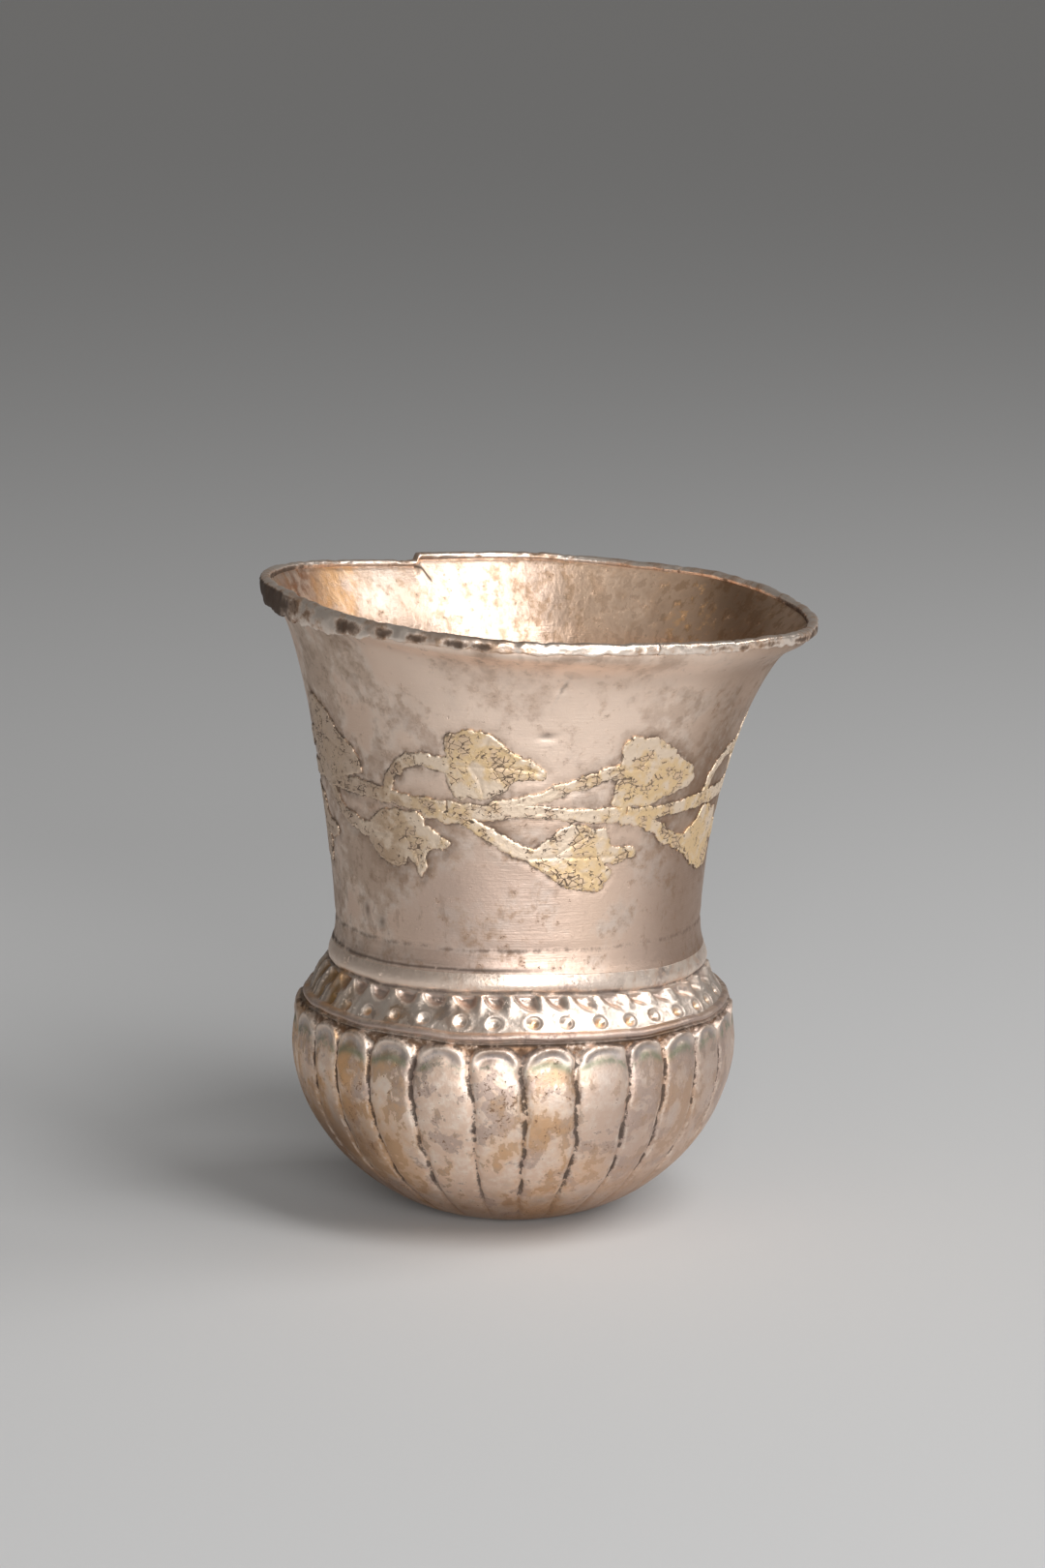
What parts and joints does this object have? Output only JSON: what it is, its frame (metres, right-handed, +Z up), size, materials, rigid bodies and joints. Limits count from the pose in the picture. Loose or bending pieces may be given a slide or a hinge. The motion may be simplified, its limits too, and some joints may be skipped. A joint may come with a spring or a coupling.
{
  "type": "beaker",
  "caption": "Round-bottomed drinking beaker: a raised bowl with chased tongues, a flared neck with a vine of gold foil, and a folded strip binding the rim.",
  "frame": {"origin": "middle of the small flat that the bowl stands on", "axes": "+Z up out of the mouth, -Y the front face as pictured, +X towards the low side of the tilted mouth"},
  "size_m": [0.1057, 0.1056, 0.1236],
  "materials": {
    "bowl_silver": "worn silver with patches of pinkish gold left on it, and black-brown tarnish in its grooves",
    "neck_silver": "softly hammered, warm pinkish-grey worn silver, mottled tan, with fine scratches and small dents",
    "binding_silver": "hammered silver strip with dark brown tarnish in its hollows",
    "gold_foil": "pale worn gold foil, pitted, with ragged raised edges and dark incised veins",
    "solder": "dull grey-brown solder"
  },
  "bodies": {
    "root": {"bowl": "bowl_silver", "neck": "neck_silver", "neck_seam_solder": "solder", "rim_binding": "binding_silver", "vine_stem_1": "gold_foil", "vine_stem_2": "gold_foil", "vine_stem_3": "gold_foil", "vine_stem_4": "gold_foil", "vine_stem_5": "gold_foil", "vine_stem_6": "gold_foil", "vine_stem_7": "gold_foil", "upper_leaf_1": "gold_foil", "upper_leaf_2": "gold_foil", "upper_leaf_3": "gold_foil", "upper_leaf_4": "gold_foil", "upper_leaf_5": "gold_foil", "upper_leaf_6": "gold_foil", "upper_leaf_7": "gold_foil", "lower_leaf_1": "gold_foil", "lower_leaf_2": "gold_foil", "lower_leaf_3": "gold_foil", "lower_leaf_4": "gold_foil", "lower_leaf_5": "gold_foil", "lower_leaf_6": "gold_foil", "lower_leaf_7": "gold_foil"}
  },
  "joints": []
}
